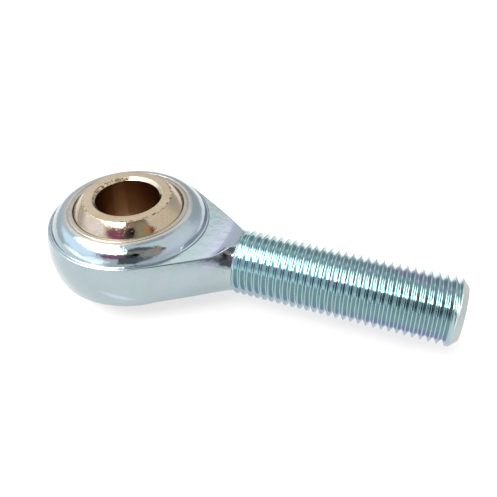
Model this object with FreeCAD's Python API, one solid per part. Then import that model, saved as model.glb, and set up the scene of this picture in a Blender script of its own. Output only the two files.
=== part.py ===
import FreeCAD, Part
import math
import os

V = FreeCAD.Vector

# Male rod end bearing, 3/8 in size, millimetres.
# Origin: centre of the ball. +Z: axis of the ball's bore. +X: along the threaded shank, away from the head.
# Three pieces: the forged body (head, neck and threaded shank in one), the race swaged into its head, and the ball.

# ball
BALL_R = 9.90           # spherical radius
BALL_HALF_W = 7.40      # half the width over the two ground faces
BORE_R = 4.7625         # 3/8 in bore
BORE_CHAMFER = 0.42
BALL_EDGE = 0.12        # edge break where the ground faces meet the sphere

# race
RUN_CLEARANCE = 0.03    # radial running clearance between ball and race
RACE_OUT_R = 10.95      # outer cylinder, seated in the body
RACE_CYL_HALF = 3.90    # half length of that cylinder
RACE_END_Z = 5.68       # end faces of the race
RACE_END_R = 8.95       # outer radius of the end faces, where the swaged lip holds the race
RACE_MOUTH = 0.08       # edge break at the mouth of the race

# head
HEAD_R = 12.70          # spherical head, 1 in across
FLAT_Z = 3.43           # half the thickness over the two turned flats
# raised boss round the race, (radius, height): from the swaged lip down to its foot on the flat
BOSS = ((9.15, 5.74), (9.60, 5.68), (10.10, 5.48), (10.60, 5.12), (11.00, 4.70), (11.33, 4.22), (11.70, 3.43))
BOSS_START = (1.0, 0.0)     # direction of its profile at the lip ...
BOSS_END = (0.37, -0.93)    # ... and at the foot
LIP_INNER_Z = 5.70      # inner edge of the lip, beside the race's end face
GROOVE_R = 11.95        # outer radius of the shallow groove round the foot of the boss
GROOVE_DEPTH = 0.12
RUNOUT_R = 15.90        # radius about the bore axis where the flats end
RUNOUT_DEG = 27.0       # ramp from the flats up to the shank

# neck and shank
NECK_DEG = 31.0         # slope of the neck's cone, tangent to the head
NECK_FILLET = 7.0       # concave fillet from the cone to the shank
BLANK_R = 4.42          # rolled-thread blank radius
THREAD_IN_X = 17.90     # where the blank starts to swell to the thread's crests
THREAD_FULL_X = 18.27   # first full crest radius
END_X = 49.60           # end of the shank
END_CHAMFER = 0.98
TAPER_X = 47.22         # from here to the end chamfer the crests taper a little, as the last rolled turns do
TAPER = 0.025

# thread: 3/8-24 UNF, right hand
MAJOR_R = 4.7625
PITCH = 25.4 / 24.0
THREAD_DEPTH = 0.649
CREST_FLAT = PITCH / 8.0
CREST_X = 19.13         # a crest's middle lies here ...
CREST_DEG = 50.75       # ... at this angle about +X, from +Y towards +Z
RUNOUT_TURN = -1.60     # the groove starts this many turns from there, beside the neck
RUNOUT_TURNS = 1.00     # and has its full depth this many turns later
RUNOUT_LIFT = 0.45      # how much shallower it starts
FADE_TURN = 27.03       # towards the shank's end it starts to rise this many turns from there
FADE_TURNS = 0.47       # and has left the surface this many turns later
STEPS = 12              # points a turn on the groove's helices
SECTORS = 4             # the crests' cylinder is made of this many faces round the shank
SEAM_DEG = 48.3         # angle of one of the seams between them


def revolve(edges, axis, degrees=360):
    face = Part.Face(Part.Wire(edges))
    s = face.revolve(V(0, 0, 0), axis, degrees)
    s = s.Solids[0] if s.Solids else Part.Solid(s)
    if s.Volume < 0:
        s.reverse()
    return s


def chain(pts, closed=True):
    """Edges through a list of points; ('arc', mid) between two points makes an arc through mid, ('curve', inner points, start, end) a smooth curve."""
    out, last, mid = [], pts[0], None
    for item in pts[1:] + ([pts[0]] if closed else []):
        if isinstance(item, tuple):
            mid = item
            continue
        if mid is not None and mid[0] == "arc":
            out.append(Part.Arc(last, mid[1], item).toShape())
        elif mid is not None:
            c = Part.BSplineCurve()
            c.interpolate(Points=[last] + mid[1] + [item], InitialTangent=mid[2], FinalTangent=mid[3])
            out.append(c.toShape())
        else:
            out.append(Part.makeLine(last, item))
        last, mid = item, None
    return out


def rz(r, z):
    return V(r, 0, z)


def xr(x, r):
    return V(x, r, 0)


Z = V(0, 0, 1)
X = V(1, 0, 0)


def make_ball():
    zf, R, e = BALL_HALF_W, BALL_R, BALL_EDGE
    zs = zf - e * 0.75                 # the sphere stops here
    rs = math.sqrt(R * R - zs * zs)
    rf = rs - e * 0.9                  # the ground face starts here
    b, c = BORE_R, BORE_CHAMFER
    pts = [rz(b, -(zf - c)), rz(b + c, -zf), rz(rf, -zf), rz(rs, -zs), ("arc", rz(R, 0)), rz(rs, zs), rz(rf, zf), rz(b + c, zf), rz(b, zf - c)]
    return revolve(chain(pts), Z)


def make_race():
    Ri = BALL_R + RUN_CLEARANCE
    zm = RACE_END_Z - RACE_MOUTH
    rm = math.sqrt(Ri * Ri - zm * zm)
    re = rm + RACE_MOUTH
    pts = [
        rz(rm, -zm), rz(re, -RACE_END_Z), rz(RACE_END_R, -RACE_END_Z), rz(RACE_OUT_R, -RACE_CYL_HALF),
        rz(RACE_OUT_R, RACE_CYL_HALF), rz(RACE_END_R, RACE_END_Z), rz(re, RACE_END_Z), rz(rm, zm), ("arc", rz(Ri, 0)),
    ]
    return revolve(chain(pts), Z)


def neck_points():
    t = math.radians(NECK_DEG)
    xt, rt = HEAD_R * math.sin(t), HEAD_R * math.cos(t)                 # cone leaves the sphere
    xb = (HEAD_R - BLANK_R * math.cos(t)) / math.sin(t)                 # cone would meet the blank
    T = NECK_FILLET * math.tan(t / 2)
    x1, r1 = xb - T * math.cos(t), BLANK_R + T * math.sin(t)            # fillet leaves the cone
    cx, cr = xb + T, BLANK_R + NECK_FILLET                              # fillet centre
    return xt, rt, x1, r1, cx, cr


def make_blank():
    """Head sphere, neck and shank as one turned shape about X, before the head's flats, boss and cavity and before the thread.

    The crests' cylinder is made in sectors, so that each turn of the thread has several short crest faces.
    """
    xt, rt, x1, r1, cx, cr = neck_points()
    arc_r = lambda x: cr - math.sqrt(NECK_FILLET ** 2 - (x - cx) ** 2)
    xm = 0.5 * (x1 + THREAD_IN_X)
    a = math.atan2(rt, xt)
    am = 0.5 * (a + math.pi)
    pts = [
        xr(-HEAD_R, 0), ("arc", xr(HEAD_R * math.cos(am), HEAD_R * math.sin(am))), xr(xt, rt), xr(x1, r1),
        ("arc", xr(xm, arc_r(xm))), xr(THREAD_IN_X, arc_r(THREAD_IN_X)), xr(THREAD_FULL_X, MAJOR_R), xr(THREAD_FULL_X, 0),
    ]
    head = revolve(chain(pts), X)
    x0, x1 = THREAD_FULL_X, END_X
    stem = [xr(x0, 0), xr(x0, MAJOR_R), xr(TAPER_X, MAJOR_R), xr(x1 - END_CHAMFER, MAJOR_R - TAPER),
            xr(x1, MAJOR_R - END_CHAMFER), xr(x1, 0)]
    parts = []
    for i in range(SECTORS):
        p = revolve(chain(stem), X, 360.0 / SECTORS)
        p.rotate(V(0, 0, 0), X, 360.0 / SECTORS * i + SEAM_DEG)
        parts.append(p)
    return head.fuse(parts)


def head_cutter():
    """What is turned away above the flats, round the boss, as one ring about Z."""
    top = 14.0
    ramp_r = RUNOUT_R + (top - FLAT_Z) / math.tan(math.radians(RUNOUT_DEG))
    g0, g1 = GROOVE_R, BOSS[-1][0]
    down = [rz(*p) for p in BOSS][::-1]
    pts = [
        rz(0, top), rz(ramp_r, top), rz(RUNOUT_R, FLAT_Z), rz(g0, FLAT_Z), rz(g0 - 0.07, FLAT_Z - GROOVE_DEPTH),
        rz(g1 + 0.05, FLAT_Z - GROOVE_DEPTH), down[0],
        ("curve", down[1:-1], rz(-BOSS_END[0], -BOSS_END[1]), rz(-BOSS_START[0], -BOSS_START[1])), down[-1],
        rz(RACE_END_R, LIP_INNER_Z), rz(0, LIP_INNER_Z),
    ]
    return revolve(chain(pts), Z)


def cavity():
    pts = [
        rz(0, -9), rz(RACE_END_R, -9), rz(RACE_END_R, -RACE_END_Z), rz(RACE_OUT_R, -RACE_CYL_HALF),
        rz(RACE_OUT_R, RACE_CYL_HALF), rz(RACE_END_R, RACE_END_Z), rz(RACE_END_R, 9), rz(0, 9),
    ]
    return revolve(chain(pts), Z)


def helix_point(turn, r, dx):
    """A point on a right-hand helix about X that runs midway between two crests."""
    a = math.radians(CREST_DEG) + 2 * math.pi * turn
    return V(CREST_X + PITCH * (turn + 0.5) + dx, r * math.cos(a), r * math.sin(a))


def groove_cutter():
    """The thread's groove as one solid along a right-hand helix. It runs out at the neck, and fades just short of the end chamfer."""
    t = math.tan(math.radians(30))
    over = 0.05                                                   # the cutter stands this far out of the crests
    half_mouth = 0.5 * (PITCH - CREST_FLAT) + over * t
    half_root = 0.5 * (PITCH - CREST_FLAT) - THREAD_DEPTH * t
    root = MAJOR_R - THREAD_DEPTH
    stop = FADE_TURN + FADE_TURNS

    def ring(turn):
        k = min(max((turn - RUNOUT_TURN) / RUNOUT_TURNS, 0.0), 1.0)
        k = k * k * (3 - 2 * k)
        e = min(max((turn - FADE_TURN) / FADE_TURNS, 0.0), 1.0)
        e = e * e * (3 - 2 * e)
        r = root + (1 - k) * RUNOUT_LIFT + e * (THREAD_DEPTH + 0.5 * over)
        return [helix_point(turn, MAJOR_R + over, -half_mouth), helix_point(turn, r, -half_root),
                helix_point(turn, r, half_root), helix_point(turn, MAJOR_R + over, half_mouth)]

    n = int(math.ceil((stop - RUNOUT_TURN) * STEPS))
    step = (stop - RUNOUT_TURN) / n
    turns = [RUNOUT_TURN + step * i for i in range(n + 1)]
    rows = [ring(a) for a in turns]
    slopes = [[(q - p) * (0.5 / 1e-4) for p, q in zip(ring(a - 1e-4), ring(a + 1e-4))] for a in turns]
    cuts = list(range(0, n, STEPS // 2)) + [n]
    if cuts[-1] - cuts[-2] < 4:
        cuts.pop(-2)
    curves = []
    for c in range(4):
        line = []
        for a, b in zip(cuts[:-1], cuts[1:]):
            s = Part.BSplineCurve()
            s.interpolate(
                Points=[rows[i][c] for i in range(a, b + 1)], Parameters=[turns[i] for i in range(a, b + 1)],
                Tangents=[slopes[i][c] for i in range(a, b + 1)], TangentFlags=[True] * (b - a + 1), Scale=False)
            line.append(s.toShape())
        curves.append(line)
    faces = []
    for c in range(4):
        for e0, e1 in zip(curves[c], curves[(c + 1) % 4]):
            faces.append(Part.makeRuledSurface(e0, e1))
    for i in (0, n):
        p = rows[i]
        faces.append(Part.Face(Part.makePolygon([p[0], p[1], p[2], p[3], p[0]])))
    shell = Part.makeShell(faces)
    shell.sewShape()
    s = Part.makeSolid(shell)
    if s.Volume < 0:
        s.reverse()
    return s


def make_body():
    body = make_blank()
    top = head_cutter()
    bottom = top.copy()
    bottom.rotate(V(0, 0, 0), X, 180)
    body = body.cut(top).cut(bottom).cut(cavity())
    body = body.Solids[0].cut(groove_cutter())
    solids = sorted(body.Solids, key=lambda s: -s.Volume)
    return solids[0]


os.makedirs("parts", exist_ok=True)
for name, shape in (("ball", make_ball()), ("race", make_race()), ("rod_end_body", make_body())):
    box = shape.BoundBox
    print(name, shape.ShapeType, shape.isValid(), "volume", round(shape.Volume, 3), "faces", len(shape.Faces),
          "box", [round(x, 3) for x in (box.XMin, box.YMin, box.ZMin, box.XMax, box.YMax, box.ZMax)])
    shape.exportStep("parts/%s.step" % name)
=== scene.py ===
import math

import bpy
import numpy as np
from mathutils import Matrix, Vector


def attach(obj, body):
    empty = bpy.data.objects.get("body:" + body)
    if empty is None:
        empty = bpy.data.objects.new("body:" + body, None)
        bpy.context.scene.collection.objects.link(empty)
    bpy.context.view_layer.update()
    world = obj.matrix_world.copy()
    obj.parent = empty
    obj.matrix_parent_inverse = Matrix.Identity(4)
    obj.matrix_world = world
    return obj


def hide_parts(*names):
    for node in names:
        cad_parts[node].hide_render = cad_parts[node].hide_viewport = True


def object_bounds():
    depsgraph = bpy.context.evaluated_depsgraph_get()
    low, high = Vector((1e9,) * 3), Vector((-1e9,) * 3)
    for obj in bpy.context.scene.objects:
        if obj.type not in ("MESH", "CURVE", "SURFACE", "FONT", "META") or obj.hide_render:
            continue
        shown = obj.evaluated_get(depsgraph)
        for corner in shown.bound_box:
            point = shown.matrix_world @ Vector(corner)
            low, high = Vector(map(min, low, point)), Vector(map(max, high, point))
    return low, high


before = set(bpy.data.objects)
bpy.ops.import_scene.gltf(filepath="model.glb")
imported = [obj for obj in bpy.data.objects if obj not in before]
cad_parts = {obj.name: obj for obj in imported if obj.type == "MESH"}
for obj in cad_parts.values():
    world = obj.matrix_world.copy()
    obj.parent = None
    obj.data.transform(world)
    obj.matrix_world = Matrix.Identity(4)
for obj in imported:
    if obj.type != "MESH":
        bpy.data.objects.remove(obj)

cad_box = [list(v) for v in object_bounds()]

MM = 0.001
rng = np.random.default_rng(20)

# ---------------------------------------------------------------- sizes, millimetres (the CAD model's)
BALL_R, HALF_W, BORE_R, BORE_C = 9.90, 7.40, 4.7625, 0.42
RACE_Z, RACE_R = 5.68, 8.95
HEAD_R, FLAT_Z = 12.70, 3.43
BOSS = [(9.15, 5.74), (9.60, 5.68), (10.10, 5.48), (10.60, 5.12), (11.00, 4.70), (11.33, 4.22), (11.70, 3.43)]
RUNOUT_R, RUNOUT = 15.90, math.radians(27.0)
NECK, FILLET, BLANK = math.radians(31.0), 7.0, 4.42
IN_X, FULL_X, END_X, END_C = 17.90, 18.27, 49.60, 0.98
MAJOR, PITCH, DEPTH = 4.7625, 25.4 / 24.0, 0.649
CREST_X, CREST_A = 19.13, math.radians(50.75)


# ---------------------------------------------------------------- mesh helpers
def make_object(name, verts, faces, merge=2e-7, recalc=True):
    """verts in mm."""
    import bmesh
    me = bpy.data.meshes.new(name)
    me.from_pydata((np.asarray(verts) * MM).tolist(), [], [list(map(int, f)) for f in faces])
    bm = bmesh.new()
    bm.from_mesh(me)
    bmesh.ops.remove_doubles(bm, verts=bm.verts, dist=merge)
    bmesh.ops.dissolve_degenerate(bm, dist=merge * 0.5, edges=bm.edges)
    if recalc:
        bmesh.ops.recalc_face_normals(bm, faces=bm.faces)
    bm.to_mesh(me)
    bm.free()
    me.validate()
    for p in me.polygons:
        p.use_smooth = True
    o = bpy.data.objects.new(name, me)
    bpy.context.scene.collection.objects.link(o)
    return o


def rounded(points, seg=4):
    """points: (a, b, radius) corners of an open polyline; each inner corner with a radius becomes an arc of seg steps."""
    out = [np.array(points[0][:2], float)]
    for i in range(1, len(points) - 1):
        p0, p1, p2 = (np.array(points[j][:2], float) for j in (i - 1, i, i + 1))
        r = points[i][2] if len(points[i]) > 2 else 0
        a, b = p0 - p1, p2 - p1
        la, lb = np.linalg.norm(a), np.linalg.norm(b)
        a, b = a / la, b / lb
        ang = math.acos(max(-1, min(1, float(a @ b))))
        if r <= 0 or ang > math.pi - 0.02:
            out.append(p1)
            continue
        t = min(r / math.tan(ang / 2), 0.45 * la, 0.45 * lb)
        r = t * math.tan(ang / 2)
        c = p1 + (a + b) / np.linalg.norm(a + b) * (r / math.sin(ang / 2))
        s, e = p1 + a * t - c, p1 + b * t - c
        sweep = math.pi - ang
        sign = 1 if s[0] * e[1] - s[1] * e[0] > 0 else -1
        for k in range(seg + 1):
            w = sign * sweep * k / seg
            out.append(c + np.array([s[0] * math.cos(w) - s[1] * math.sin(w), s[0] * math.sin(w) + s[1] * math.cos(w)]))
    out.append(np.array(points[-1][:2], float))
    return out


def spaced(poly, step):
    """Adds points to a polyline so that no step is longer than step."""
    out = [poly[0]]
    for a, b in zip(poly[:-1], poly[1:]):
        n = max(int(math.ceil(np.linalg.norm(b - a) / step)), 1)
        out += [a + (b - a) * k / n for k in range(1, n + 1)]
    return out


def curve(points, start, end, n=6):
    """Smooth curve through points with given end directions, n steps between points."""
    p = np.array(points, float)
    t = np.concatenate([[0], np.cumsum(np.linalg.norm(np.diff(p, axis=0), axis=1))])
    m = np.gradient(p, t, axis=0)
    m[0] = np.array(start) / np.linalg.norm(start)
    m[-1] = np.array(end) / np.linalg.norm(end)
    out = [p[0]]
    for i in range(len(p) - 1):
        h = t[i + 1] - t[i]
        for k in range(1, n + 1):
            u = k / n
            out.append((2 * u ** 3 - 3 * u ** 2 + 1) * p[i] + (u ** 3 - 2 * u ** 2 + u) * h * m[i]
                       + (3 * u ** 2 - 2 * u ** 3) * p[i + 1] + (u ** 3 - u ** 2) * h * m[i + 1])
    return out


def revolve_z(name, loop, n, wave=None):
    """Closed (R, z) loop turned about Z into a closed mesh."""
    loop = np.array(loop)
    m = len(loop)
    th = 2 * math.pi * np.arange(n) / n
    R = np.repeat(loop[None, :, 0], n, 0)
    Z = np.repeat(loop[None, :, 1], n, 0)
    if wave is not None:
        R, Z = wave(R, Z, th[:, None])
    V = np.stack([R * np.cos(th)[:, None], R * np.sin(th)[:, None], Z], -1).reshape(-1, 3)
    F = []
    for i in range(n):
        a, b = i * m, ((i + 1) % n) * m
        for j in range(m):
            k = (j + 1) % m
            F.append((a + j, b + j, b + k, a + k))
    return make_object(name, V, F)


# ---------------------------------------------------------------- ball
def ball_mesh():
    zs = HALF_W - 0.09
    rs = math.sqrt(BALL_R ** 2 - zs ** 2)
    a0 = math.asin(zs / BALL_R)
    half = rounded([(BORE_R, 0), (BORE_R, HALF_W - BORE_C, 0.10), (BORE_R + BORE_C, HALF_W, 0.10), (rs - 0.10, HALF_W, 0.08), (rs, zs, 0.05),
                    (BALL_R * math.cos(a0 - 0.03), BALL_R * math.sin(a0 - 0.03))], 4)
    half = spaced(half, 0.28)
    arc = [np.array([BALL_R * math.cos(a), BALL_R * math.sin(a)]) for a in np.linspace(a0 - 0.03, 0, 34)[1:]]
    top = half + arc
    bottom = [np.array([p[0], -p[1]]) for p in top[1:-1]][::-1]
    return revolve_z("ball_visual", top + bottom, 256)


# ---------------------------------------------------------------- race
def race_mesh():
    Ri = BALL_R + 0.03
    zm = RACE_Z - 0.08
    rm = math.sqrt(Ri * Ri - zm * zm)
    a0 = math.asin(zm / Ri)
    inner = [(Ri * math.cos(a), Ri * math.sin(a)) for a in np.linspace(0, a0, 22)]
    pts = [(*p, 0) for p in inner[:-1]] + [(rm, zm, 0.04), (rm + 0.08, RACE_Z, 0.05), (RACE_R, RACE_Z, 0.0), (10.95, 3.90, 0.2), (10.95, 0, 0)]
    top = spaced(rounded(pts, 3), 0.5)
    bottom = [np.array([p[0], -p[1]]) for p in top[1:-1]][::-1]
    return revolve_z("race_visual", top + bottom, 256)


# ---------------------------------------------------------------- body
XT = HEAD_R * math.sin(NECK)
XB = (HEAD_R - BLANK * math.cos(NECK)) / math.sin(NECK)
TL = FILLET * math.tan(NECK / 2)
X1 = XB - TL * math.cos(NECK)
CX, CR = XB + TL, BLANK + FILLET


def blank_r(x):
    """Radius of the turned blank about X."""
    x = np.asarray(x, float)
    sph = np.sqrt(np.clip(HEAD_R ** 2 - x ** 2, 0, None))
    cone = (HEAD_R - x * math.sin(NECK)) / math.cos(NECK)
    arc = CR - np.sqrt(np.clip(FILLET ** 2 - (x - CX) ** 2, 0, None))
    return np.where(x < XT, sph, np.where(x < X1, cone, np.where(x < CX, arc, BLANK)))


def smin(a, b, k):
    h = np.clip(0.5 + 0.5 * (b - a) / k, 0, 1)
    return b * (1 - h) + a * h - k * h * (1 - h)


def smax(a, b, k):
    return -smin(-a, -b, k)


def envelope(x):
    """Outer radius of the shank: blank, swell to the crests, crests, end chamfer."""
    r_in = float(blank_r(IN_X))
    swell = r_in + (x - IN_X) * (MAJOR - r_in) / (FULL_X - IN_X)
    e = smax(blank_r(np.minimum(x, IN_X + 0.6)), swell, 0.05)
    e = smin(e, np.full_like(x, MAJOR), 0.04)
    return smin(e, MAJOR - (x - (END_X - END_C)), 0.06)


def flat_z(R):
    """Height of the turned flat and of its run-out ramp, R from the bore axis."""
    u = (R - RUNOUT_R) * math.tan(RUNOUT)
    return FLAT_Z + 0.5 * (u + np.sqrt(u * u + 0.10 ** 2)) - 0.0


def crease(th):
    """Distance from the bore axis at which the flat or its ramp meets the blank, for each azimuth."""
    th = np.asarray(th, float)
    lo, hi = np.full_like(th, 11.95), np.full_like(th, 18.6)

    def g(R):
        x, y = R * np.cos(th), R * np.sin(th)
        return blank_r(x) ** 2 - y ** 2 - flat_z(R) ** 2

    for _ in range(60):
        mid = 0.5 * (lo + hi)
        m = g(mid) > 0
        lo, hi = np.where(m, mid, lo), np.where(m, hi, mid)
    return 0.5 * (lo + hi)


def thread_r(x, a):
    """Radius of the threaded shank at x and at angle a about X, a within one turn above the seam at 90 degrees."""
    s = (x - CREST_X) / PITCH - (a - CREST_A) / (2 * math.pi)
    k = np.floor(s)
    w = np.abs(s - k - 0.5)                       # 0 in the middle of the groove, 0.5 on a crest
    turn = k + (a - CREST_A) / (2 * math.pi)
    f = np.clip((turn + 1.60) / 1.00, 0, 1)
    e = np.clip((turn - 27.03) / 0.47, 0, 1)
    root = MAJOR - DEPTH + (1 - f * f * (3 - 2 * f)) * 0.45 + e * e * (3 - 2 * e) * (DEPTH + 0.025)
    half_mouth = 0.5 * (PITCH - PITCH / 8) + 0.05 * math.tan(math.radians(30))
    half_root = 0.5 * (PITCH - PITCH / 8) - DEPTH * math.tan(math.radians(30))
    flank = root + (w * PITCH - half_root) * (MAJOR + 0.05 - root) / (half_mouth - half_root)
    groove = smax(root + 0 * w, flank, 0.10)
    groove = np.where((turn < -1.60) | (turn > 27.50), 99.0, groove)
    return smin(envelope(x), groove, 0.045)


def body_mesh():
    M = 64                                        # steps down one side
    n_th = 720
    th = np.linspace(0, 2 * math.pi, n_th + 1)
    ath = np.minimum(th, 2 * math.pi - th)        # angle from the shank, 0..pi
    side = np.where(th <= math.pi, 1.0, -1.0)
    B = crease(ath)
    xc, yc = B * np.cos(ath), B * np.sin(ath)
    zc = flat_z(B)

    # fixed part of the top skin: race seat, lip, boss, groove
    boss = curve(BOSS, (1, 0), (0.37, -0.93))
    boss = [np.array(q, float) for q in boss if q[1] > 3.80]
    foot = [(11.70, 3.41, 0.19), (11.88, 3.40, 0.03), (11.895, 3.31, 0.02), (11.95, 3.31, 0.02), (11.98, 3.43, 0)]
    lip = rounded([(8.95, 5.68, 0), (8.953, 5.681, 0), (8.99, 5.69, 0), tuple(boss[0]) + (0.05,), tuple(boss[1])], 4)
    top = spaced([np.array(q, float) for q in lip + boss[2:-1] + rounded([tuple(boss[-1]) + (0,)] + foot, 6)], 0.22)[1:]
    seat = spaced([np.array(p, float) for p in ((10.95, 0), (10.95, 3.90), (8.95, RACE_Z))], 0.8)
    fixed = seat[1:] + top

    rows = []                                     # each row: (n_th+1, 3)
    c, s = np.cos(th), np.sin(th)
    for R, z in fixed:
        rows.append(np.stack([R * c, R * s, np.full_like(th, z)], -1))
    R0 = fixed[-1][0]
    # edge rounding fades out where the ramp meets the shank
    d = 0.16 * np.clip(np.degrees(ath) / 9.0, 0, 1) ** 2
    d = np.minimum(d, 0.42 * (B - R0))
    Rend = B - d
    nb = 26
    for k in range(1, nb + 1):
        t = k / nb
        R = R0 + (Rend - R0) * t
        rows.append(np.stack([R * c, R * s, flat_z(R)], -1))
    P_top = rows[-1]
    C = np.stack([B * c, B * s, zc], -1)

    # side lines: radial round the head, along Y beside the neck
    w = np.clip((np.degrees(ath) - 58.5) / 22.0, 0, 1)
    w = w * w * (3 - 2 * w)
    ux, uy = w * np.cos(ath), (1 - w) + w * np.sin(ath)
    nrm = np.hypot(ux, uy)
    ux, uy = ux / nrm, uy / nrm
    rho = (1 - w) * blank_r(xc) + w * HEAD_R
    phc = np.arcsin(np.clip(zc / rho, 0, 1))

    def side_point(z):
        """Point of the blank at height z on each side line."""
        lam = np.zeros_like(th)
        x, y = xc.copy(), yc.copy()
        if True:
            lo = np.full_like(th, -3.0)
            hi = np.full_like(th, 16.0)
            # f > 0 inside the blank
            for _ in range(60):
                mid = 0.5 * (lo + hi)
                x, y = xc + mid * ux, yc + mid * uy
                f = blank_r(x) ** 2 - y * y - z * z
                m = f > 0
                lo, hi = np.where(m, mid, lo), np.where(m, hi, mid)
            x, y = xc + lo * ux, yc + lo * uy
        return np.stack([x, y * side, z], -1)

    # where the rounding ends on the side, as a step of angle
    dph = d / rho
    steps = np.linspace(0, 1, M + 1)
    ph0, ph1 = phc - dph, -(phc - dph)
    band = []
    for t in steps:
        ph = ph0 + (ph1 - ph0) * t
        band.append(side_point(rho * np.sin(ph)))
    for t in (0.2, 0.4, 0.6, 0.8):
        rows.append((1 - t) ** 2 * P_top + 2 * t * (1 - t) * C + t * t * band[0])
    up = rows
    down = [r * np.array([1, 1, -1]) for r in up][::-1]
    loop = up + band + down                       # from the seat's middle top to its middle bottom, closed by the seat
    loop = [np.stack([10.95 * c, 10.95 * s, 0 * th], -1)] + loop
    A = np.stack(loop, 1)                         # (n_th+1, rows, 3)
    m = A.shape[1]
    V = A.reshape(-1, 3)
    F = []
    for i in range(n_th):
        a, b = i * m, (i + 1) * m
        for j in range(m):
            k = (j + 1) % m
            F.append((a + j, b + j, b + k, a + k))
    base = len(V)

    # shank: rows follow the helix, clamped to its two ends
    xs = float(xc[0])
    n = 2 * M
    seam = math.pi / 2
    ang = seam + 2 * math.pi * np.arange(n + 1) / n
    st = np.array([0.0, 0.045, 0.065, 0.095, 0.16, 0.25, 0.34, 0.405, 0.44, 0.475, 0.5, 0.525, 0.56, 0.595, 0.66, 0.75, 0.84, 0.905, 0.935, 0.955])
    k0 = int(math.floor((xs - CREST_X) / PITCH)) - 2
    k1 = int(math.ceil((END_X - CREST_X) / PITCH)) + 1
    u = (np.arange(k0, k1)[:, None] + st[None]).ravel()
    X = CREST_X + PITCH * (u[:, None] + (ang[None] - CREST_A) / (2 * math.pi))
    lo_rows = np.where(X.max(1) > xs)[0]
    u = u[lo_rows[0] - 1:]
    X = X[lo_rows[0] - 1:]
    keep = X.min(1) < END_X
    last = np.where(keep)[0][-1] + 2
    X = np.clip(X[:last], xs, END_X)
    Ang = np.repeat(ang[None], len(X), 0)
    Rr = thread_r(X, Ang)
    blend = np.clip((X - xs) / 0.25, 0, 1)
    Rr = Rr * blend + blank_r(xs) * (1 - blend)
    S = np.stack([X, Rr * np.cos(Ang), Rr * np.sin(Ang)], -1)
    nr = len(X)
    V = np.concatenate([V, S.reshape(-1, 3)])
    for j in range(nr - 1):
        a, b = base + j * (n + 1), base + (j + 1) * (n + 1)
        for i in range(n):
            F.append((a + i, a + i + 1, b + i + 1, b + i))
    # end face
    base2 = len(V)
    re = S[-1][:, 1:]
    fr = [1.0, 0.97, 0.9, 0.75, 0.5, 0.25]
    rings = []
    for f in fr:
        rings.append(np.stack([np.full(n + 1, END_X), re[:, 0] * f, re[:, 1] * f], -1))
    V = np.concatenate([V] + rings + [np.array([[END_X, 0, 0]])])
    for q in range(len(fr) - 1):
        a, b = base2 + q * (n + 1), base2 + (q + 1) * (n + 1)
        for i in range(n):
            F.append((a + i, a + i + 1, b + i + 1, b + i))
    tip = len(V) - 1
    a = base2 + (len(fr) - 1) * (n + 1)
    for i in range(n):
        F.append((a + i, a + i + 1, tip))
    return make_object("rod_end_body_visual", V, F)


ball = ball_mesh()
race = race_mesh()
body = body_mesh()
# the CAD mesh's widest facets lie a few microns inside the true sphere, and the drawn head stays inside them
half_y = min(-cad_box[0][1], cad_box[1][1]) / MM
reach = max(abs(v.co.y) for v in body.data.vertices) / MM
if reach > half_y:
    for v in body.data.vertices:
        v.co.y *= (half_y - 0.0005) / reach
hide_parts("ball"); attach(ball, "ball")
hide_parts("race"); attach(race, "housing")
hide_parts("rod_end_body"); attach(body, "housing")


# ---------------------------------------------------------------- node helpers
class S:
    """A socket with arithmetic."""

    def __init__(self, nt, sock):
        self.nt, self.sock = nt, sock

    def op(self, kind, *others, clamp=False):
        n = self.nt.nodes.new("ShaderNodeMath")
        n.operation = kind
        n.use_clamp = clamp
        for i, v in enumerate((self,) + others):
            if isinstance(v, S):
                self.nt.links.new(v.sock, n.inputs[i])
            else:
                n.inputs[i].default_value = v
        return S(self.nt, n.outputs[0])

    def __add__(self, o): return self.op("ADD", o)
    def __sub__(self, o): return self.op("SUBTRACT", o)
    def __mul__(self, o): return self.op("MULTIPLY", o)
    def __truediv__(self, o): return self.op("DIVIDE", o)
    def __neg__(self): return self.op("MULTIPLY", -1.0)
    __radd__, __rmul__ = __add__, __mul__

    def __rsub__(self, o): return (-self) + o

    def abs(self): return self.op("ABSOLUTE")
    def sin(self): return self.op("SINE")
    def sqrt(self): return self.op("SQRT")
    def min(self, o): return self.op("MINIMUM", o)
    def max(self, o): return self.op("MAXIMUM", o)
    def clamp(self): return self.op("ADD", 0.0, clamp=True)

    def step(self, e0, e1):
        """Smooth step from 0 at e0 to 1 at e1."""
        n = self.nt.nodes.new("ShaderNodeMapRange")
        n.interpolation_type = "SMOOTHSTEP"
        self.nt.links.new(self.sock, n.inputs[0])
        flip = e1 < e0
        n.inputs[1].default_value, n.inputs[2].default_value = min(e0, e1), max(e0, e1)
        n.inputs[3].default_value, n.inputs[4].default_value = (1.0, 0.0) if flip else (0.0, 1.0)
        return S(self.nt, n.outputs[0])

    def band(self, c, half, soft):
        return (self - c).abs().step(half + soft, max(half - soft, 0.0))


def feed(nt, v, sock):
    if isinstance(v, S):
        nt.links.new(v.sock, sock)
    elif isinstance(v, (tuple, list)):
        sock.default_value = (*v, 1.0) if len(v) == 3 and len(sock.default_value) == 4 else v
    else:
        sock.default_value = v


def mixc(nt, f, a, b):
    n = nt.nodes.new("ShaderNodeMix")
    n.data_type = "RGBA"
    feed(nt, f, n.inputs[0])
    feed(nt, a, n.inputs[6])
    feed(nt, b, n.inputs[7])
    return S(nt, n.outputs[2])


def vec(nt, x, y, z):
    n = nt.nodes.new("ShaderNodeCombineXYZ")
    for i, v in enumerate((x, y, z)):
        feed(nt, v, n.inputs[i])
    return S(nt, n.outputs[0])


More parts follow.
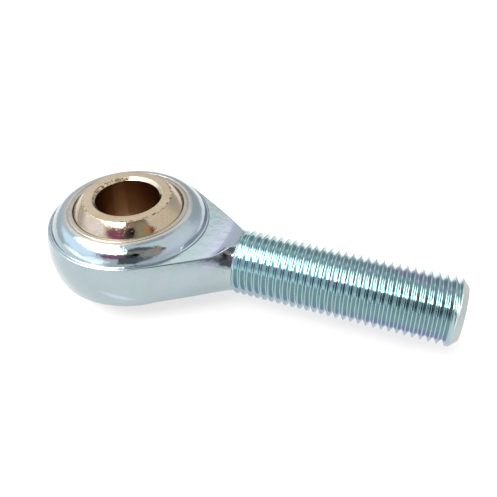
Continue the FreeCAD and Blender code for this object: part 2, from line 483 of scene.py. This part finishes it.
def noise(nt, v, scale, detail=3.0, rough=0.55, dist=0.0):
    n = nt.nodes.new("ShaderNodeTexNoise")
    nt.links.new(v.sock, n.inputs["Vector"])
    n.inputs["Scale"].default_value = scale
    n.inputs["Detail"].default_value = detail
    n.inputs["Roughness"].default_value = rough
    n.inputs["Distortion"].default_value = dist
    return S(nt, n.outputs["Fac"])


def place(nt):
    """Object position in mm: vector, x, y, z, distance from the bore axis, distance from the shank axis."""
    t = nt.nodes.new("ShaderNodeTexCoord")
    m = nt.nodes.new("ShaderNodeVectorMath")
    m.operation = "SCALE"
    nt.links.new(t.outputs["Object"], m.inputs[0])
    m.inputs["Scale"].default_value = 1000.0
    sp = nt.nodes.new("ShaderNodeSeparateXYZ")
    nt.links.new(m.outputs[0], sp.inputs[0])
    x, y, z = (S(nt, sp.outputs[i]) for i in range(3))
    R = (x * x + y * y).sqrt()
    r = (y * y + z * z).sqrt()
    return S(nt, m.outputs[0]), x, y, z, R, r


def bump(nt, height, dist, strength=1.0, prev=None):
    n = nt.nodes.new("ShaderNodeBump")
    n.inputs["Strength"].default_value = strength
    n.inputs["Distance"].default_value = dist
    nt.links.new(height.sock, n.inputs["Height"])
    if prev is not None:
        nt.links.new(prev.sock, n.inputs["Normal"])
    return S(nt, n.outputs[0])


def material(name):
    m = bpy.data.materials.new(name)
    m.use_nodes = True
    return m, m.node_tree, m.node_tree.nodes["Principled BSDF"]


# ---------------------------------------------------------------- materials
def zinc():
    """Bright zinc plate with a thin blue-violet passivation, turned boss and flats, tumbled sides, rolled thread."""
    m, nt, b = material("zinc_plate")
    P, x, y, z, R, r = place(nt)
    az = z.abs()
    head = x.step(18.2, 17.6)
    boss = R.step(11.89, 11.86) * az.step(3.3, 3.38) * head
    flat = R.step(11.75, 11.95) * az.band(3.43, 0.03, 0.03) * head
    ramp = R.step(15.6, 16.2) * az.step(3.40, 3.55) * x.step(11.0, 13.0) * head * (R.step(15.5, 16.0))
    foot = R.band(11.92, 0.05, 0.04) * az.step(3.0, 3.25) * head
    lip = R.band(9.30, 0.30, 0.14) * az.step(5.4, 5.6)
    thread = x.step(17.9, 18.4) * x.step(48.9, 48.5)
    end = x.step(48.45, 48.75)
    depth = ((MAJOR - r) / DEPTH).clamp() * thread
    n1 = noise(nt, P, 0.22, 4.0)
    n2 = noise(nt, P, 0.55, 4.0, 0.6, 0.6)
    n3 = noise(nt, P, 2.2, 5.0, 0.62)
    col = mixc(nt, n1.step(0.35, 0.65), (0.325, 0.400, 0.420), (0.345, 0.425, 0.455))
    col = mixc(nt, n2.step(0.42, 0.72) * 0.55, col, (0.310, 0.415, 0.400))
    col = mixc(nt, n3.step(0.50, 0.75) * 0.25, col, (0.400, 0.440, 0.465))
    lilac = noise(nt, P, 0.42, 3.0, 0.6, 0.8)
    col = mixc(nt, lilac.step(0.50, 0.66) * 0.35, col, (0.385, 0.395, 0.47))
    violet = (x.step(-9.5, -12.3) * 0.8 + R.band(11.2, 0.5, 0.5) * boss * x.step(3.0, 9.0) * 0.45 + x.band(15.2, 1.6, 1.4) * z.step(1.5, 3.5) * 0.75 + foot * 0.8 + noise(nt, P, 0.35, 2.0).step(0.55, 0.75) * 0.20).clamp()
    col = mixc(nt, violet, col, (0.41, 0.43, 0.55))
    col = mixc(nt, lip * 0.85, col, (0.40, 0.365, 0.335))
    # the rolled flanks keep a brighter plate than the worn crests, greener at mid length and purple in the last roots
    col = mixc(nt, thread * 0.85, col, (0.29, 0.39, 0.415))
    col = mixc(nt, depth.step(0.02, 0.12), col, (0.322, 0.455, 0.478))
    col = mixc(nt, depth.step(0.02, 0.12) * n2.step(0.45, 0.65) * 0.5, col, (0.300, 0.475, 0.455))
    col = mixc(nt, depth.step(0.35, 0.9) * noise(nt, P, 0.45, 2.0).step(0.42, 0.62) * x.step(24.0, 44.0) * y.step(-1.8, 0.2) * 0.8, col, (0.46, 0.38, 0.58))
    # the underside of the thread is painted darker and bluer, and its last roots there dark blue-purple: painted shade
    col = mixc(nt, thread * z.step(0.2, -1.5) * 0.75, col, (0.29, 0.40, 0.49))
    col = mixc(nt, depth.step(0.25, 0.8) * x.step(30.0, 44.0) * z.step(-0.6, -1.8) * 0.8, col, (0.27, 0.26, 0.52))
    col = mixc(nt, end, col, (0.42, 0.46, 0.455))
    # a pale streak low on the front of the head: a painted highlight
    painted_side_highlight = (((x - 4.0) * 0.36 + (y + 12.1) * 0.12) * ((x - 4.0) * 0.36 + (y + 12.1) * 0.12) + ((z + 1.25 + (x - 4.0) * 0.36) * 1.9) * ((z + 1.25 + (x - 4.0) * 0.36) * 1.9)).sqrt().step(1.15, 0.35) * y.step(-8.0, -10.0)
    col = mixc(nt, painted_side_highlight * 0.8, col, (0.42, 0.53, 0.60))
    # handling marks: sparse dark specks on the sides
    speck = noise(nt, P, 3.1, 2.0, 0.5).step(0.70, 0.76) * (1.0 - boss) * (1.0 - thread)
    col = mixc(nt, speck * 0.55, col, (0.17, 0.155, 0.14))
    nt.links.new(col.sock, b.inputs["Base Color"])
    b.inputs["Metallic"].default_value = 1.0
    rough = 0.21 + (noise(nt, P, 1.2, 4.0) - 0.5) * 0.13
    rough = rough * (1.0 - boss) + (0.085 + (noise(nt, P, 1.6, 3.0) - 0.5) * 0.05) * boss
    rough = rough * (1.0 - flat * 0.25) * (1.0 - x.step(13.5, 15.5) * 0.5)
    rough = rough * (1.0 - thread) + (0.105 + (n3 - 0.5) * 0.07) * thread
    rough = rough * (1.0 - end) + 0.46 * end
    rough = rough + lip * 0.16 + speck * 0.25
    nt.links.new(rough.clamp().sock, b.inputs["Roughness"])
    # turned lines about the bore axis on boss and flats, tumbled dimples on the sides
    turned = noise(nt, vec(nt, R * 9.0, az * 9.0, 0.0), 1.0, 4.0, 0.7)
    wavy = noise(nt, P, 0.9, 3.0, 0.5)
    fine = noise(nt, P, 6.0, 4.0, 0.6)
    nb = bump(nt, turned * (boss + flat).clamp(), 0.0000035)
    nb = bump(nt, wavy * (1.0 - thread), 0.000035, 1.0, nb)
    nb = bump(nt, fine * (1.0 - boss * 0.8), 0.0000022, 1.0, nb)
    nb = bump(nt, noise(nt, P, 3.0, 3.0, 0.6) * end, 0.00004, 1.0, nb)
    nt.links.new(nb.sock, b.inputs["Normal"])
    return m


def ball_steel():
    """Ground and polished bearing steel with a warm protective film, light rust at the edges."""
    m, nt, b = material("ball_steel")
    P, x, y, z, R, r = place(nt)
    az = z.abs()
    face = az.step(HALF_W - 0.05, HALF_W - 0.02) * R.step(4.7, 4.8)
    bore = R.step(BORE_R + 0.05, BORE_R + 0.01)
    chamfer = R.step(BORE_R + 0.01, BORE_R + 0.04) * R.step(BORE_R + BORE_C + 0.10, BORE_R + BORE_C - 0.02)
    rim = R.band(6.50, 0.13, 0.12) * az.step(HALF_W - 0.34, HALF_W - 0.12)
    n1 = noise(nt, P, 0.35, 4.0, 0.55, 0.5)
    n2 = noise(nt, P, 1.4, 5.0, 0.62)
    col = mixc(nt, n1.step(0.35, 0.68), (0.405, 0.330, 0.225), (0.43, 0.365, 0.265))
    col = mixc(nt, n2.step(0.48, 0.70) * 0.45, col, (0.35, 0.265, 0.18))
    col = mixc(nt, noise(nt, P, 0.9, 4.0, 0.6, 0.8).step(0.44, 0.60) * (1.0 - face * 0.4) * 0.6, col, (0.43, 0.345, 0.315))
    # the bore: dark varnish, with a paler streak painted down one side as a painted highlight
    away = (y * 0.656 - x * 0.755) / R
    painted_bore_highlight = (away.step(0.60, 0.98) * 0.35 + (away + (n1 - 0.5) * 0.01).step(0.962, 0.992) * 0.65)
    col = mixc(nt, bore * 0.92, col, mixc(nt, painted_bore_highlight, (0.265, 0.142, 0.066), (0.53, 0.37, 0.235)))
    col = mixc(nt, chamfer * 0.6, col, (0.60, 0.55, 0.43))
    # rust: dotted along the outer rim, mostly on one side, and in the bore's chamfer on the other
    dots = noise(nt, P, 2.3, 3.0, 0.55).step(0.49, 0.57)
    side = (x * 0.95 - y * 0.10).step(0.3, 3.6).max((-y).step(1.5, 4.5) * 0.6)
    rust = dots * rim * (side * 0.95 + 0.08)
    rust = rust + noise(nt, P, 3.0, 2.0).step(0.47, 0.55) * chamfer * (-x).step(1.5, 3.6) * 0.85
    rust = rust + noise(nt, P, 4.5, 2.0).step(0.62, 0.72) * 0.32 * (1.0 - bore)
    rust = rust.clamp()
    col = mixc(nt, rust, col, (0.12, 0.055, 0.025))
    nt.links.new(col.sock, b.inputs["Base Color"])
    b.inputs["Metallic"].default_value = 1.0
    rough = 0.07 + (noise(nt, P, 0.8, 4.0) - 0.5) * 0.05
    rough = rough * (1.0 - face) + (0.34 + (n2 - 0.5) * 0.16) * face
    rough = rough * (1.0 - bore) + 0.24 * bore
    rough = rough + rust * 0.5
    nt.links.new(rough.clamp().sock, b.inputs["Roughness"])
    ground = noise(nt, vec(nt, R * 7.0, az * 2.0, 0.0), 1.0, 4.0, 0.7)
    nb = bump(nt, ground * face, 0.000006)
    nb = bump(nt, noise(nt, P, 4.0, 4.0, 0.6), 0.000007, 1.0, nb)
    nb = bump(nt, noise(nt, P, 1.1, 3.0, 0.5), 0.00002, 1.0, nb)
    nb = bump(nt, 0.0 - rust, 0.000014, 1.0, nb)
    # axial honing marks in the bore
    hone = noise(nt, vec(nt, x * 3.2, y * 3.2, z * 0.15), 1.0, 4.0, 0.65)
    nb = bump(nt, hone * bore, 0.00001, 1.0, nb)
    nt.links.new(nb.sock, b.inputs["Normal"])
    return m


def race_steel():
    """Machined steel ring, oiled; a dark ring of painted shade lies at its mouth, next to the gap to the ball."""
    m, nt, b = material("race_steel")
    P, x, y, z, R, r = place(nt)
    n1 = noise(nt, P, 0.8, 4.0)
    n2 = noise(nt, P, 3.0, 4.0, 0.6)
    col = mixc(nt, n1.step(0.35, 0.68), (0.34, 0.315, 0.265), (0.38, 0.35, 0.30))
    col = mixc(nt, n2.step(0.5, 0.75) * 0.35, col, (0.27, 0.25, 0.19))
    # dark ring at the mouth, next to the gap to the ball: painted shade (also made rougher)
    gap_shade_ring = R.step(8.36, 8.28)
    col = mixc(nt, gap_shade_ring * 0.8, col, (0.10, 0.095, 0.055))
    nt.links.new(col.sock, b.inputs["Base Color"])
    b.inputs["Metallic"].default_value = 1.0
    rough = 0.27 + (n1 - 0.5) * 0.16 + gap_shade_ring * 0.3
    nt.links.new(rough.clamp().sock, b.inputs["Roughness"])
    turned = noise(nt, vec(nt, R * 10.0, z.abs() * 10.0, 0.0), 1.0, 4.0, 0.7)
    nb = bump(nt, turned, 0.000006)
    nb = bump(nt, n2, 0.000008, 1.0, nb)
    nt.links.new(nb.sock, b.inputs["Normal"])
    return m


body.data.materials.append(zinc())
race.data.materials.append(race_steel())
ball.data.materials.append(ball_steel())

# ---------------------------------------------------------------- floor, light
fm = bpy.data.meshes.new("floor")
h = 4.0
fz = -HALF_W * MM - 1e-5
fm.from_pydata([(-h, -h, fz), (h, -h, fz), (h, h, fz), (-h, h, fz)], [], [(0, 1, 2, 3)])
floor = bpy.data.objects.new("floor", fm)
bpy.context.scene.collection.objects.link(floor)
fmat, nt, b = material("floor_white")
b.inputs["Base Color"].default_value = (0.31, 0.31, 0.31, 1)
b.inputs["Roughness"].default_value = 0.9
b.inputs["Specular IOR Level"].default_value = 0.0
b.inputs["Emission Color"].default_value = (1, 1, 1, 1)
b.inputs["Emission Strength"].default_value = 0.66
fm.materials.append(fmat)

# the hand that holds the camera: a dark card behind the lens, mirrored in the thread and at the foot of the boss
cm = bpy.data.meshes.new("hand_card")
cm.from_pydata([(15 * MM, -90 * MM, 15 * MM), (62 * MM, -90 * MM, 15 * MM), (62 * MM, -90 * MM, 60 * MM), (15 * MM, -90 * MM, 60 * MM)], [], [(0, 1, 2, 3)])
card = bpy.data.objects.new("hand_card", cm)
bpy.context.scene.collection.objects.link(card)
cmat, nt, b = material("hand_dark")
b.inputs["Base Color"].default_value = (0.05, 0.045, 0.045, 1)
b.inputs["Roughness"].default_value = 0.9
b.inputs["Specular IOR Level"].default_value = 0.0
b.inputs["Emission Color"].default_value = (0.80, 0.92, 1.0, 1)
b.inputs["Emission Strength"].default_value = 0.13
cm.materials.append(cmat)

scene = bpy.context.scene
scene.view_settings.view_transform = "Standard"
scene.view_settings.look = "None"
world = bpy.data.worlds.new("studio")
scene.world = world
world.use_nodes = True
nt = world.node_tree
bg = nt.nodes["Background"]
t = nt.nodes.new("ShaderNodeTexCoord")
sp = nt.nodes.new("ShaderNodeSeparateXYZ")
nt.links.new(t.outputs["Generated"], sp.inputs[0])
dx, dy, dz = (S(nt, sp.outputs[i]) for i in range(3))
c55, s55 = math.cos(math.radians(55)), math.sin(math.radians(55))
# azimuth counted from the photographer's side, positive towards the shank
fx = dx * c55 - dy * s55
fy = dx * s55 + dy * c55
wob = noise(nt, S(nt, t.outputs["Generated"]), 3.5, 2.0) - 0.5
AZ = fy.op("ARCTAN2", fx) * (180 / math.pi) + wob * 9.0
EL = dz.op("ARCSINE") * (180 / math.pi) + (noise(nt, S(nt, t.outputs["Generated"]), 4.5, 2.0) - 0.5) * 7.0


def blob(prev, a, e, ra, re, soft, colour, amount=1.0):
    """An elliptical patch of the room, centred at azimuth a and elevation e."""
    q = ((AZ - a) / ra) * ((AZ - a) / ra) + ((EL - e) / re) * ((EL - e) / re)
    return mixc(nt, q.sqrt().step(1.0 + soft, 1.0 - soft) * amount, prev, colour)


sky = mixc(nt, EL.step(0.0, 40.0), (0.88, 0.90, 0.93), (1.10, 1.13, 1.16))
sky = blob(sky, 75, 45, 45, 40, 0.5, (1.26, 1.29, 1.26))                  # room to the right
sky = blob(sky, 140, 22, 32, 20, 0.5, (0.72, 0.74, 0.75))                 # darker behind, right
sky = blob(sky, 160, 70, 50, 13, 0.4, (0.70, 0.72, 0.75))
sky = blob(sky, 180, 44, 36, 9, 0.3, (1.60, 1.61, 1.56))                  # pale wall behind
sky = blob(sky, -180, 44, 30, 9, 0.3, (1.60, 1.61, 1.56))
sky = blob(sky, -98, 29, 38, 16, 0.35, (1.70, 1.85, 2.10))                # bluish wall, left
sky = blob(sky, -76, 5, 30, 8, 0.3, (2.8, 2.8, 2.9))                      # low window, left
sky = blob(sky, -57, 14, 17, 5.5, 0.3, (2.1, 2.15, 2.25))
sky = blob(sky, 3, 47, 37, 36, 0.15, (0.20, 0.205, 0.22))                 # photographer
sky = blob(sky, -39, 36, 20, 10.5, 0.3, (0.47, 0.18, 0.33))
sky = blob(sky, 22, 38, 20, 17, 0.3, (0.56, 0.55, 0.47))
sky = blob(sky, -9, 30, 7, 18, 0.4, (0.08, 0.065, 0.075))
sky = blob(sky, -2, 53, 17, 6, 0.4, (0.55, 0.45, 0.36))
sky = blob(sky, -1, 43, 7.0, 6.5, 0.2, (0.004, 0.004, 0.004))             # lens
sky = blob(sky, 29, 40, 6, 4.5, 0.4, (1.05, 0.38, 0.12))
sky = blob(sky, 41, 34, 5, 5, 0.4, (0.42, 0.07, 0.08))
sky = blob(sky, -95, 61, 62, 17, 0.2, (10.5, 9.6, 9.2))                    # skylight, left
sky = blob(sky, -44, 55, 18, 5.5, 0.3, (22.0, 20.0, 19.0))                     # lamp
nt.links.new(sky.sock, bg.inputs["Color"])
bg.inputs["Strength"].default_value = 1.0


cam = bpy.data.cameras.new("camera")
camo = bpy.data.objects.new("camera", cam)
scene.collection.objects.link(camo)
R = [[0.9396, 0.34227, 0.00163], [0.21867, -0.5966, -0.77217], [-0.26332, 0.72589, -0.63541]]
C = (40.846 * MM, -59.789 * MM, 54.995 * MM)
camo.matrix_world = Matrix((
    (R[0][0], -R[1][0], -R[2][0], C[0]),
    (R[0][1], -R[1][1], -R[2][1], C[1]),
    (R[0][2], -R[1][2], -R[2][2], C[2]),
    (0, 0, 0, 1)))
cam.sensor_width = 36.0
cam.lens = 41.2231
cam.clip_start, cam.clip_end = 0.005, 20
scene.camera = camo
